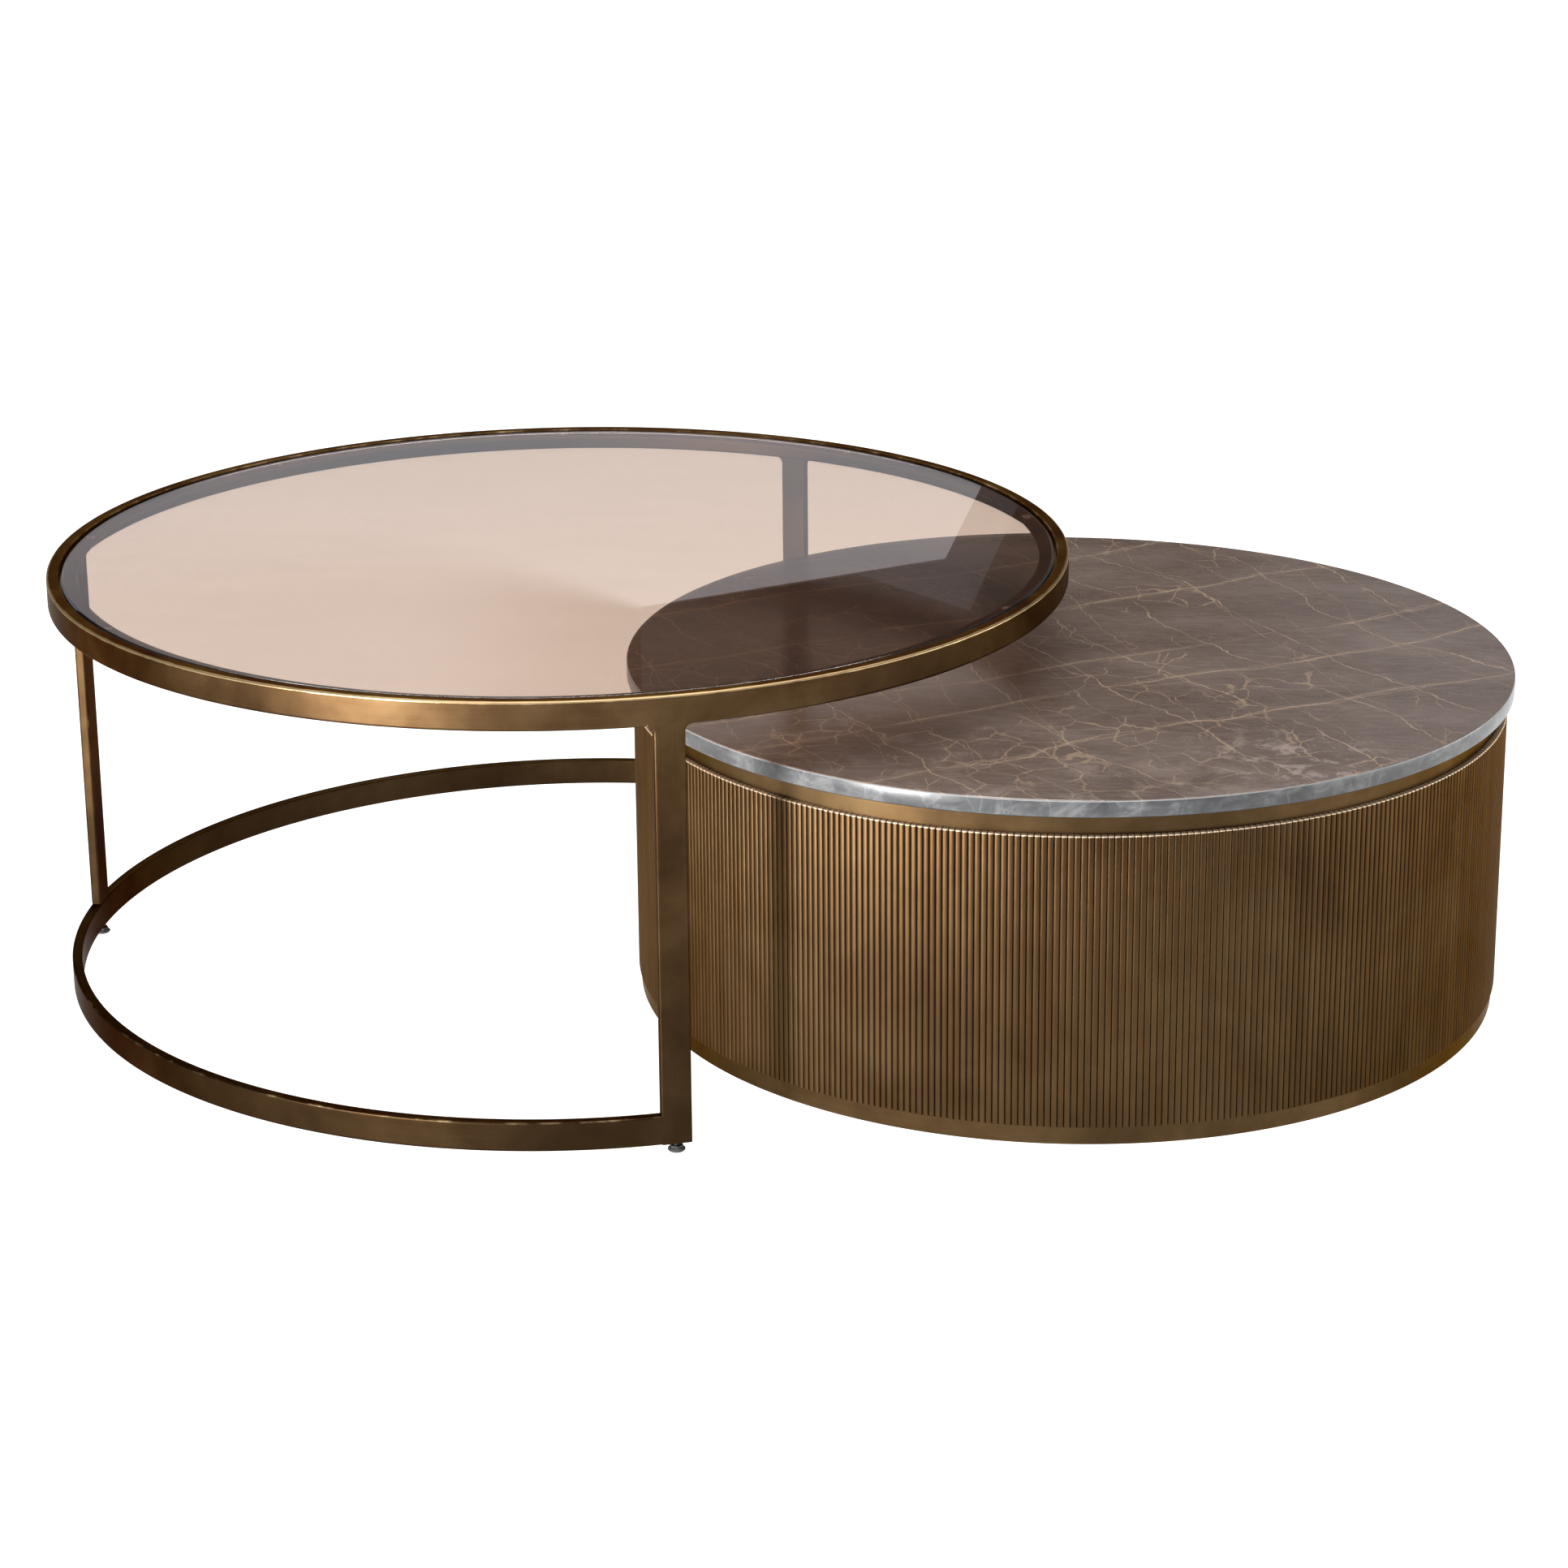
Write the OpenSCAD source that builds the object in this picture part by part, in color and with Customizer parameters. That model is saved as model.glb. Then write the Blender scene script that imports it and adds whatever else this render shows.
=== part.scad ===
// Nest of two round tables: a tall open frame with a glass top, and a low ribbed drum with a marble
// top that slides in between the frame's legs. Millimetres, +Z up, floor at z = 0. The origin is on
// the floor under the middle of the whole footprint, and +X is the way the drum slides out.

/* [Tall frame table] */
// Outer diameter of the top rim and of the base ring
frame_d = 1000; // [900:10:1100]
// Height of the top rim above the floor
frame_h = 428; // [400:1:480]
// Radial thickness of the top rim
rim_t = 12; // [8:1:16]
// Height of the top rim's outer face
rim_h = 27; // [24:1:34]
// Width of the flat bar that the legs and the base ring are made of
bar_w = 28; // [24:1:34]
// Thickness of that flat bar
bar_t = 10; // [9:1:12]
// Angle between +X and the front leg, and between +X and the rear leg
leg_angle = 69; // [66:1:72]
// Clear height under the base ring
foot_gap = 8; // [8:1:12]

/* [Glass top] */
// Thickness of the glass
glass_t = 6; // [5:1:8]
// Depth of the glass below the rim's top face
glass_recess = 1.5; // [0.5:0.5:4]
// Gap between the glass and the rim
glass_gap = 2; // [1:0.5:3]
// Width of the ledge that carries the glass
ledge_w = 17; // [12:1:24]

/* [Low drum table] */
// Diameter of the marble top
marble_d = 862; // [800:1:866]
// Thickness of the marble top
marble_t = 16; // [12:1:20]
// Height of the marble's top face above the floor
drum_h = 331; // [300:1:360]
// Outer diameter of the ribbed skin
skin_d = 850; // [790:1:854]
// Height of the smooth band that shows under the marble
upper_band_h = 17.5; // [12:0.5:24]
// Height of the smooth band that shows under the ribs
lower_band_h = 17; // [12:1:24]
// Distance from the middle of the frame to the middle of the drum, as the tables are shown
nest_offset = 500; // [400:10:600]

/* [Hidden] */
$fn = 96;
round_r = 2;                                  // edge rounding of the flat bar
slip = 0.05;                                  // radial clearance of a screw in its hole
rest_gap = 0.05;                              // a loose top stands this clear of its bumpers

frame_r = frame_d / 2;
marble_r = marble_d / 2;
skin_r = skin_d / 2;

rim_z = frame_h - rim_h;
rim_in_r = frame_r - rim_t;
base_top = foot_gap + bar_w;
leg_out_r = frame_r - 0.2;                    // a flat leg stays inside the round rim
leg_angles = [-leg_angle, 180, leg_angle];
fillet_r = 7;                                 // weld fillet where a leg meets the rim

pad_t = 1;                                    // clear bumper under the glass
pad_r = 5;
pad_count = 9;
glass_r = rim_in_r - glass_gap;
glass_z = frame_h - glass_recess - glass_t;
ledge_t = 3;
ledge_z = glass_z - pad_t - ledge_t;

stud_r = 3;                                   // M6 levelling screw
stud_top = foot_gap + 18;
stud_flange_z = 3.6;
stud_flange_t = 2;
stud_flange_af = 11;
foot_r = 8;
foot_t = 3.5;
foot_dome_r = 6.5;
foot_socket_z = 1.5;
foot_ring_r = leg_out_r - bar_t / 2;

left_reach = foot_ring_r + foot_r;            // the left foot is the leftmost point
frame_x = -(nest_offset + marble_r - left_reach) / 2;
drum_x = frame_x + nest_offset;

board_t = 18;                                 // plywood
bump_t = 1.5;                                 // clear bumper under the marble
bump_r = 8;
bump_count = 8;
bump_ring_r = 330;
marble_z = drum_h - marble_t;
top_board_top = marble_z - bump_t;
top_board_z = top_board_top - board_t;
skin_top = top_board_top - upper_band_h;
skin_t = 3.5;
inner_wall_t = 5;
sheet_t = 2;                                  // bronze sheet of the two bands
glide_h = 3;
skin_z = glide_h + lower_band_h;
upper_band_r = skin_r - 6;
lower_band_r = skin_r - 2.5;
top_board_r = upper_band_r - sheet_t;
inner_wall_r = skin_r - skin_t;
inner_wall_top = skin_top - 6;
base_board_top = glide_h + board_t;
top_ring_z = top_board_z - board_t;
top_ring_in_r = 340;
top_ring_out_r = inner_wall_r - inner_wall_t - 1;
batten_count = 6;
batten_w = 60;
batten_t = 30;
batten_r = top_ring_out_r - batten_t / 2 - 3;
glide_r = 15;
glide_ring_r = 380;
glide_count = 6;
glide_start = 30;                             // the glides stand midway between the battens
wood_screw_r = 2.5;
wood_screw_head_r = 5;
wood_screw_head_t = 3;
wood_screw_grip = 16;                         // depth that a screw holds in a batten
glide_screw_r = 2;
glide_screw_head_r = 3.5;
glide_screw_head_z = 1;

// ---- shared shapes ----

// Section of a flat bar with rounded edges, w across and h high, on its middle
module bar_section(w, h) {
    square([w, h - 2 * round_r], center = true);
    square([w - 2 * round_r, h], center = true);
    for (x = [-1, 1], y = [-1, 1])
        translate([x * (w / 2 - round_r), y * (h / 2 - round_r)]) circle(r = round_r, $fn = 32);
}

// Flat ring between two radii, t thick, from height z up
module flat_ring(out_r, in_r, z, t) {
    rotate_extrude() translate([in_r, z]) square([out_r - in_r, t]);
}

module at_frame() {
    translate([frame_x, 0, 0]) children();
}

module at_drum() {
    translate([drum_x, 0, 0]) children();
}

// Copies on a circle, the first one at angle start
module around(count, r, start = 0) {
    for (i = [0 : count - 1]) rotate([0, 0, start + 360 * i / count]) translate([r, 0, 0]) children();
}

// Countersunk wood screw, head downwards at height z
module wood_screw(z, length, shank_r, head_r, head_t) {
    translate([0, 0, z]) cylinder(r1 = head_r, r2 = shank_r, h = head_t);
    translate([0, 0, z]) cylinder(r = shank_r, h = length);
}

// ---- tall frame table ----

module top_rim() {
    color("#6e5433") at_frame()
    rotate_extrude($fn = 180) translate([frame_r - rim_t / 2, rim_z + rim_h / 2]) bar_section(rim_t, rim_h);
}

module glass_ledge() {
    color("#5d4629") at_frame() flat_ring(rim_in_r, rim_in_r - ledge_w, ledge_z, ledge_t, $fn = 180);
}

module glass_pads() {
    color("#d8d8d8") at_frame()
    around(pad_count, rim_in_r - ledge_w / 2, 20) translate([0, 0, ledge_z + ledge_t])
        cylinder(r = pad_r, h = pad_t - rest_gap);
}

// Solid of a leg, from height z up to the rim, without its screw hole
module leg_bar(angle, z) {
    rotate([0, 0, angle]) {
        translate([leg_out_r - bar_t / 2, 0, z]) linear_extrude(rim_z - z) bar_section(bar_t, bar_w);
        for (side = [-1, 1]) leg_fillet(side);
    }
}

// Hollow fillet in the corner between a leg's side and the rim's underside
module leg_fillet(side) {
    translate([leg_out_r - bar_t + round_r, 0, 0]) rotate([90, 0, 90]) linear_extrude(bar_t - 2 * round_r)
    difference() {
        translate([side * (bar_w + fillet_r - 1) / 2, rim_z - fillet_r / 2])
            square([fillet_r + 1, fillet_r], center = true);
        translate([side * (bar_w / 2 + fillet_r), rim_z - fillet_r]) circle(r = fillet_r, $fn = 48);
    }
}

// Hole for a levelling screw, up from the underside of the frame
module stud_hole(angle) {
    rotate([0, 0, angle]) translate([foot_ring_r, 0, foot_gap - 1])
    cylinder(r = stud_r + slip, h = stud_top - foot_gap + 3, $fn = 48);
}

module leg(angle, z) {
    color("#6e5433") at_frame()
    difference() {
        leg_bar(angle, z);
        if (z < base_top) stud_hole(angle);
    }
}

// Base ring, open between the front and rear legs
module base_ring() {
    color("#6e5433") at_frame()
    difference() {
        rotate([0, 0, leg_angle]) rotate_extrude(angle = 360 - 2 * leg_angle, $fn = 180)
            translate([frame_r - bar_t / 2, foot_gap + bar_w / 2]) bar_section(bar_t, bar_w);
        for (angle = [-leg_angle, leg_angle]) rotate([0, 0, angle])
            translate([frame_r, 0, foot_gap + bar_w / 2]) cube([4 * bar_t, bar_w, 2 * bar_w], center = true);
        stud_hole(180);
    }
}

module glass_top() {
    bevel = 2;
    arris = 0.5;
    color("#c9a08a", 0.5) at_frame() translate([0, 0, glass_z])
    rotate_extrude($fn = 180) polygon([
        [0, 0],
        [glass_r - arris, 0],
        [glass_r, arris],
        [glass_r, glass_t - bevel / 2],
        [glass_r - bevel, glass_t],
        [0, glass_t]]);
}

module foot_pad(angle) {
    color("#2b2b2b") at_frame() rotate([0, 0, angle]) translate([foot_ring_r, 0, 0])
    difference() {
        rotate_extrude() polygon([
            [0, 0],
            [foot_r - 1, 0],
            [foot_r, 1],
            [foot_r, foot_t - 1.5],
            [foot_dome_r, foot_t],
            [0, foot_t]]);
        translate([0, 0, foot_socket_z]) cylinder(r = stud_r + slip, h = foot_t, $fn = 48);
    }
}

module foot_stud(angle) {
    color("#8a8a88") at_frame() rotate([0, 0, angle]) translate([foot_ring_r, 0, 0]) {
        translate([0, 0, foot_socket_z + slip])
            cylinder(r = stud_r, h = stud_top - foot_socket_z - slip, $fn = 48);
        translate([0, 0, stud_flange_z]) cylinder(d = stud_flange_af / cos(30), h = stud_flange_t, $fn = 6);
    }
}

// ---- low drum table ----

module marble_top() {
    eased = 1.5;
    color("#786a5e") at_drum() translate([0, 0, marble_z])
    rotate_extrude($fn = 180) polygon([
        [0, 0],
        [marble_r - eased, 0],
        [marble_r, eased],
        [marble_r, marble_t - eased],
        [marble_r - eased, marble_t],
        [0, marble_t]]);
}

module marble_pads() {
    color("#d8d8d8") at_drum() around(bump_count, bump_ring_r, 22.5) translate([0, 0, top_board_top])
        cylinder(r = bump_r, h = bump_t - rest_gap);
}

module ribbed_skin() {
    color("#7a5c36") at_drum() flat_ring(skin_r, skin_r - skin_t, skin_z, skin_top - skin_z, $fn = 180);
}

module upper_band() {
    color("#a08050") at_drum()
    flat_ring(upper_band_r, top_board_r, inner_wall_top + 1, top_board_top - inner_wall_top - 1, $fn = 180);
}

module lower_band() {
    color("#7a5c36") at_drum()
    flat_ring(lower_band_r, lower_band_r - sheet_t, glide_h, lower_band_h, $fn = 180);
}

module inner_wall() {
    color("#c8ab7c") at_drum()
    flat_ring(inner_wall_r, inner_wall_r - inner_wall_t, base_board_top,
        inner_wall_top - base_board_top, $fn = 180);
}

module top_board() {
    color("#c8ab7c") at_drum()
    difference() {
        translate([0, 0, top_board_z]) cylinder(r = top_board_r, h = board_t, $fn = 180);
        around(batten_count, batten_r) top_screw_cut();
    }
}

module top_ring() {
    color("#c8ab7c") at_drum()
    difference() {
        flat_ring(top_ring_out_r, top_ring_in_r, top_ring_z, board_t, $fn = 180);
        around(batten_count, batten_r) top_screw_cut();
    }
}

module base_board() {
    color("#c8ab7c") at_drum()
    difference() {
        translate([0, 0, glide_h]) cylinder(r = lower_band_r - sheet_t, h = board_t, $fn = 180);
        around(batten_count, batten_r) base_screw_cut();
        around(glide_count, glide_ring_r, glide_start) glide_screw_cut();
    }
}

module batten(index) {
    batten_h = top_ring_z - base_board_top;
    color("#c8ab7c") at_drum() rotate([0, 0, 360 * (index - 1) / batten_count])
    translate([batten_r, 0, 0])
    difference() {
        translate([0, 0, base_board_top + batten_h / 2])
            cube([batten_t, batten_w, batten_h], center = true);
        top_screw_cut();
        base_screw_cut();
    }
}

module glide(index) {
    color("#3a3632") at_drum() rotate([0, 0, glide_start + 360 * (index - 1) / glide_count])
    translate([glide_ring_r, 0, 0])
    difference() {
        rotate_extrude() polygon([[0, 0], [glide_r - 1, 0], [glide_r, 1], [glide_r, glide_h], [0, glide_h]]);
        glide_screw_cut();
    }
}

// The screws and the holes they fill share these shapes; a hole is wider by the slip
module top_screw(wider = 0) {
    length = top_board_top - top_ring_z + wood_screw_grip;
    translate([0, 0, top_board_top]) mirror([0, 0, 1])
        wood_screw(-wider, length + 2 * wider, wood_screw_r + wider,
            wood_screw_head_r + wider, wood_screw_head_t);
}

module base_screw(wider = 0) {
    wood_screw(glide_h - wider, board_t + wood_screw_grip + 2 * wider,
        wood_screw_r + wider, wood_screw_head_r + wider, wood_screw_head_t);
}

module glide_screw(wider = 0) {
    wood_screw(glide_screw_head_z - wider, wood_screw_grip + 2 * wider,
        glide_screw_r + wider, glide_screw_head_r + wider, glide_h - glide_screw_head_z - 0.2);
}

module top_screw_cut() {
    top_screw(slip);
}

module base_screw_cut() {
    base_screw(slip);
}

module glide_screw_cut() {
    glide_screw(slip);
    translate([0, 0, -1]) cylinder(r = glide_screw_head_r + slip, h = 1 + glide_screw_head_z);
}

module top_screws() {
    color("#b9a25e") at_drum() around(batten_count, batten_r) top_screw();
}

module base_screws() {
    color("#b9a25e") at_drum() around(batten_count, batten_r) base_screw();
}

module glide_screws() {
    color("#b9a25e") at_drum() around(glide_count, glide_ring_r, glide_start) glide_screw();
}

// ---- nodes ----

top_rim();
glass_ledge();
glass_pads();
leg(leg_angles[0], foot_gap);  // leg_front
leg(leg_angles[1], base_top);  // leg_left
leg(leg_angles[2], foot_gap);  // leg_rear
base_ring();
glass_top();
foot_pad(leg_angles[0]);  // foot_pad_front
foot_pad(leg_angles[1]);  // foot_pad_left
foot_pad(leg_angles[2]);  // foot_pad_rear
foot_stud(leg_angles[0]);  // foot_stud_front
foot_stud(leg_angles[1]);  // foot_stud_left
foot_stud(leg_angles[2]);  // foot_stud_rear
marble_top();
marble_pads();
ribbed_skin();
upper_band();
lower_band();
inner_wall();
top_board();
top_ring();
base_board();
top_screws();
base_screws();
glide_screws();
for (i = [1 : batten_count]) batten(i);
for (i = [1 : glide_count]) glide(i);
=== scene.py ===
# Two nesting tables: a tall bronze frame with a tinted glass top, and a low ribbed drum with a marble top
import math

import bmesh
import bpy
from mathutils import Matrix, Vector


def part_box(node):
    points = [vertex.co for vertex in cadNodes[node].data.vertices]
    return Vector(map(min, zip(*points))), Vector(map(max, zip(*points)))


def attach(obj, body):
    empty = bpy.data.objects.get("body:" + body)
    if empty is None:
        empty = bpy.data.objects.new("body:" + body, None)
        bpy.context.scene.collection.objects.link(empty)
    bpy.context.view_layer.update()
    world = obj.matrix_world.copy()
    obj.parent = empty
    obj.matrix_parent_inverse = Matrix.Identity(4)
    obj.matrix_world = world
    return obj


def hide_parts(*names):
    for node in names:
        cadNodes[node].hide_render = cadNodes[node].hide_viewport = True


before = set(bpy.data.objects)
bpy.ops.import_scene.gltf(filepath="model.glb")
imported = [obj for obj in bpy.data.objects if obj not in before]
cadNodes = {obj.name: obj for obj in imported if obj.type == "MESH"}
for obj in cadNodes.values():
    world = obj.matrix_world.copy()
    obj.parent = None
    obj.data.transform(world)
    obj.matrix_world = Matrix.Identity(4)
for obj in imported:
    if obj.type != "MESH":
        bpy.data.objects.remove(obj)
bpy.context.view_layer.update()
mm = 0.001
print("frame loaded,", len(cadNodes), "CAD nodes")


# middle in X, outer radius, bottom and top of a round CAD node, which reaches its full radius at +X
def ringOf(node):
    low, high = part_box(node)
    radius = (high.y - low.y) / 2
    return high.x - round(radius, 4), radius, low.z, high.z


frameMid, rimRadius, rimBottom, rimTop = ringOf("top_rim")
drumMid, marbleRadius, marbleBottom, marbleTop = ringOf("marble_top")
skinRadius, skinBottom, skinTop = ringOf("ribbed_skin")[1:]
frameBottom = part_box("base_ring")[0].z
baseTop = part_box("base_ring")[1].z
ribs = {
    "count": 456,             # round the whole drum
    "depth": 1.3 * mm,        # from the crest down to the groove
    "back": 3.4 * mm,         # from the crest to the flat back of the sheet
    "hem": 2.2 * mm,          # the top edge is folded in this far over the inner wall
    "hemHigh": 5.4 * mm,
    "roundness": 3.0,         # 2 is a half ellipse, more is flatter on top
    "shares": (-1, -0.82, -0.5, 0, 0.5, 0.82, 1),   # where the faces of one rib meet, side to side
    "lip": 1.3 * mm,          # rounding of the cut ends
    "weld": 0.02 * mm,        # neighbours closer than this become one sheet
}


# A node socket that works in sums
class Wire:
    def __init__(self, graph, socket):
        self.graph = graph
        self.socket = socket

    def maths(self, kind, first, second):
        return self.graph.add("ShaderNodeMath", {"operation": kind}, {0: first, 1: second})

    def __add__(self, other):
        return self.maths("ADD", self, other)

    def __radd__(self, other):
        return self.maths("ADD", other, self)

    def __sub__(self, other):
        return self.maths("SUBTRACT", self, other)

    def __rsub__(self, other):
        return self.maths("SUBTRACT", other, self)

    def __mul__(self, other):
        return self.maths("MULTIPLY", self, other)

    def __rmul__(self, other):
        return self.maths("MULTIPLY", other, self)

    def __truediv__(self, other):
        return self.maths("DIVIDE", self, other)

    def __rtruediv__(self, other):
        return self.maths("DIVIDE", other, self)


class Graph:
    def __init__(self, tree):
        self.tree = tree
        tree.nodes.clear()

    # settings come first, because they decide which sockets a node has
    def add(self, kind, settings=None, inputs=None, output=0):
        node = self.tree.nodes.new(kind)
        for name, value in (settings or {}).items():
            if name == "stops":
                self.setStops(node.color_ramp, value)
            else:
                setattr(node, name, value)
        for key, value in (inputs or {}).items():
            if isinstance(value, Wire):
                self.tree.links.new(value.socket, node.inputs[key])
            else:
                node.inputs[key].default_value = value
        return Wire(self, node.outputs[output]) if len(node.outputs) else None

    def setStops(self, ramp, stops):
        while len(ramp.elements) < len(stops):
            ramp.elements.new(0.5)
        for element, (place, colour) in zip(ramp.elements, stops):
            element.position = place
            element.color = (*colour, 1)

    # sockets 6 and 7 of a Mix node are its colours, and output 2 the mixed one
    def mix(self, amount, first, second):
        return self.add("ShaderNodeMix", {"data_type": "RGBA"}, {0: amount, 6: first, 7: second}, 2)

    # 0 at low, 1 at high, smooth between; low may be the larger
    def step(self, value, low, high):
        return self.add("ShaderNodeMapRange", {"interpolation_type": "SMOOTHSTEP"},
                        {"Value": value, "From Min": low, "From Max": high})

    def noise(self, where, scale, detail=3.0, rough=0.5, bend=0.0):
        return self.add("ShaderNodeTexNoise", {},
                        {"Vector": where, "Scale": scale, "Detail": detail, "Roughness": rough,
                         "Distortion": bend})

    def ramp(self, value, *stops):
        return self.add("ShaderNodeValToRGB", {"stops": stops}, {"Fac": value})

    # object coordinates counted from origin, stretched, then turned about Z
    def place(self, origin=(0, 0, 0), turn=0.0, stretch=(1, 1, 1)):
        here = self.add("ShaderNodeTexCoord", output="Object")
        moved = self.add("ShaderNodeMapping", {},
                         {"Vector": here, "Location": tuple(-c for c in origin)})
        return self.add("ShaderNodeMapping", {},
                        {"Vector": moved, "Rotation": (0, 0, math.radians(-turn)),
                         "Scale": stretch})

    def along(self, stretch):
        uv = self.add("ShaderNodeTexCoord", output="UV")
        return self.add("ShaderNodeMapping", {}, {"Vector": uv, "Scale": stretch})

    def axis(self, vector, which):
        return self.add("ShaderNodeSeparateXYZ", {}, {"Vector": vector}, which)

    def bump(self, height, strength, distance):
        return self.add("ShaderNodeBump", {},
                        {"Height": height, "Strength": strength, "Distance": distance})

    def surface(self, **sockets):
        # baseColor feeds the socket Base Color
        named = {}
        for key, value in sockets.items():
            words = "".join(" " + c if c.isupper() else c for c in key).title()
            named[words.replace("Ior", "IOR")] = value
        return self.add("ShaderNodeBsdfPrincipled", {}, named)

    def finish(self, shader):
        self.add("ShaderNodeOutputMaterial", {}, {"Surface": shader})


def newMaterial(name):
    material = bpy.data.materials.new(name)
    material.use_nodes = True
    return material, Graph(material.node_tree)


bronzeTones = {
    "shade": (0.025, 0.0135, 0.006),
    "middle": (0.048, 0.0265, 0.0115),
    "light": (0.084, 0.051, 0.0235),
    "rubbedHighlight": (0.60, 0.43, 0.23),      # worn patina on the edges, and a painted highlight along them
    "grazing": (0.42, 0.38, 0.35),     # how bright the surface turns when seen along it
    "dark": (0.011, 0.0065, 0.003),    # the tone is mixed towards this near the floor
    "low": 0.58,                       # and this much of it is there at the floor
    "cloud": 9,                        # patches to a metre
    "blotch": 48,
}


# Patinated brass: cloudy tone, brush lines along the piece and rubbed edges that also carry a painted
# highlight
def makeBronze(name, brush, tones, rubbedHighlight, shine):
    material, g = newMaterial(name)
    here = g.place()
    cloud = g.noise(here, tones["cloud"], 4, 0.55, 0.4)
    blotch = g.noise(here, tones["blotch"], 3, 0.6)
    lines = g.noise(g.along(brush), 1, 3, 0.65)
    tone = cloud * 0.66 + blotch * 0.18 + lines * 0.16
    colour = g.ramp(tone, (0.32, tones["shade"]), (0.5, tones["middle"]), (0.7, tones["light"]))
    # the tone turns darker towards the floor
    low = g.step(g.axis(here, 2), 0.3, 0.0) * tones["low"]
    colour = g.mix(low, colour, (*tones["dark"], 1))
    rough = shine + cloud * 0.16 + lines * 0.07
    # rubbed edges: worn patina, and a painted highlight
    if rubbedHighlight:
        edge = g.add("ShaderNodeAttribute", {"attribute_name": "edge"}, output="Fac")
        worn = g.step(edge + (blotch - 0.5) * 0.8, 0.45, 0.95) * rubbedHighlight
        colour = g.mix(worn, colour, (*tones["rubbedHighlight"], 1))
        rough = rough - worn * 0.1
    relief = g.bump(lines * 0.6 + blotch * 0.4, 0.16, 0.1 * mm)
    g.finish(g.surface(baseColor=colour, metallic=1.0, roughness=rough, normal=relief,
                       specularTint=(*tones["grazing"], 1)))
    return material


bandTones = {**bronzeTones, "shade": (0.032, 0.019, 0.009), "middle": (0.066, 0.039, 0.017),
             "light": (0.115, 0.073, 0.034), "cloud": 5, "grazing": (0.55, 0.46, 0.38), "low": 0.15}
# the ledge's bronze is a lighter copy of the frame bronze: painted light on the ledge seen through the glass
ledgeLitTones = {**bronzeTones, "shade": (0.08, 0.048, 0.026), "middle": (0.14, 0.088, 0.05),
              "light": (0.21, 0.135, 0.078), "low": 0.0}
frameBronze = makeBronze("frameBronze", (5, 900, 1), bronzeTones, 0.8, 0.31)
ledgeLitBronze = makeBronze("ledgeLitBronze", (5, 900, 1), ledgeLitTones, 0.0, 0.5)
bandBronze = makeBronze("bandBronze", (3, 1400, 1), bandTones, 0.3, 0.25)


ribTones = {
    "shade": (0.036, 0.0185, 0.008),
    "middle": (0.062, 0.035, 0.0155),
    "light": (0.092, 0.056, 0.027),
    # painted shade in the grooves between the ribs
    "grooveShade": (0.010, 0.006, 0.003),
    "cut": (0.92, 0.72, 0.52),         # painted highlight along the top lip of every rib
    "dip": (0.33, 0.47),               # where the painted groove shade starts and is full, from 0 on the crest to 0.5
    "shine": 0.38,
}


# The ribbed sheet: every rib its own tone, one flank painted lighter as if lit, painted shade in the grooves,
# a painted highlight on the top lip, cloudy patches
def makeRibbedBronze():
    material, g = newMaterial("ribbedBronze")
    centred = g.place(origin=(drumMid, 0, 0))
    x, y, z = (g.axis(centred, i) for i in range(3))
    turn = g.add("ShaderNodeMath", {"operation": "ARCTAN2"}, {0: y, 1: x})
    count = (turn + math.pi) * (ribs["count"] / math.tau) + 0.5
    number = g.add("ShaderNodeMath", {"operation": "FLOOR"}, {0: count})
    tint = g.add("ShaderNodeTexWhiteNoise", {"noise_dimensions": "1D"}, {"W": number})
    flank = g.add("ShaderNodeMath", {"operation": "FRACT"}, {0: count})
    away = g.add("ShaderNodeMath", {"operation": "ABSOLUTE"}, {0: flank - 0.5})
    grooveShade = g.step(away, *ribTones["dip"])
    cloud = g.noise(g.place(stretch=(1, 1, 0.8)), 8, 4, 0.6, 0.5)
    drift = g.noise(g.place(stretch=(1, 1, 0.12)), 160, 2, 0.5)
    grain = g.noise(g.place(stretch=(1, 1, 0.05)), 2500, 2, 0.6)
    # the flank term paints one side of every rib lighter: painted light
    tone = cloud * 0.5 + tint * 0.07 + drift * 0.12 + grain * 0.11 + flank * 0.2
    colour = g.ramp(tone, (0.32, ribTones["shade"]), (0.5, ribTones["middle"]), (0.68, ribTones["light"]))
    # painted highlight on the top lip of every rib
    topLipHighlight = g.step(z, skinTop - 0.95 * ribs["lip"], skinTop - 0.55 * ribs["lip"])
    colour = g.mix(topLipHighlight, colour, (*ribTones["cut"], 1))
    # painted shade in the grooves
    colour = g.mix(grooveShade * 0.85, colour, (*ribTones["grooveShade"], 1))
    rough = ribTones["shine"] + cloud * 0.18 + grooveShade * 0.15 + topLipHighlight * 0.1
    relief = g.bump(grain, 0.2, 0.05 * mm)
    g.finish(g.surface(baseColor=colour, metallic=1.0, roughness=rough, normal=relief,
                       specularTint=(*bandTones["grazing"], 1)))
    return material


ribbedBronze = makeRibbedBronze()

glassLook = {
    "tint": (0.575, 0.435, 0.345),     # of what is seen through it
    "shade": (0.32, 0.235, 0.18),      # of the light that falls through it
    "smear": 0.97,                     # the tint's share where the pane isn't quite clean
    "ior": 1.5,
}


# Bronze float glass: clear to the eye, and light from the lamps passes tinted
def makeGlass():
    material, g = newMaterial("bronzeGlass")
    smears = g.noise(g.place(stretch=(1, 3, 1)), 9, 3, 0.5)
    tint = g.ramp(smears, (0.3, tuple(glassLook["smear"] * c for c in glassLook["tint"])),
                  (0.7, glassLook["tint"]))
    pane = g.surface(baseColor=tint, roughness=0.0, transmissionWeight=1.0, ior=glassLook["ior"])
    through = g.add("ShaderNodeBsdfTransparent", {}, {"Color": (*glassLook["shade"], 1)})
    shadow = g.add("ShaderNodeLightPath", output="Is Shadow Ray")
    g.finish(g.add("ShaderNodeMixShader", {}, {0: shadow, 1: pane, 2: through}))
    return material


bronzeGlass = makeGlass()

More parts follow.
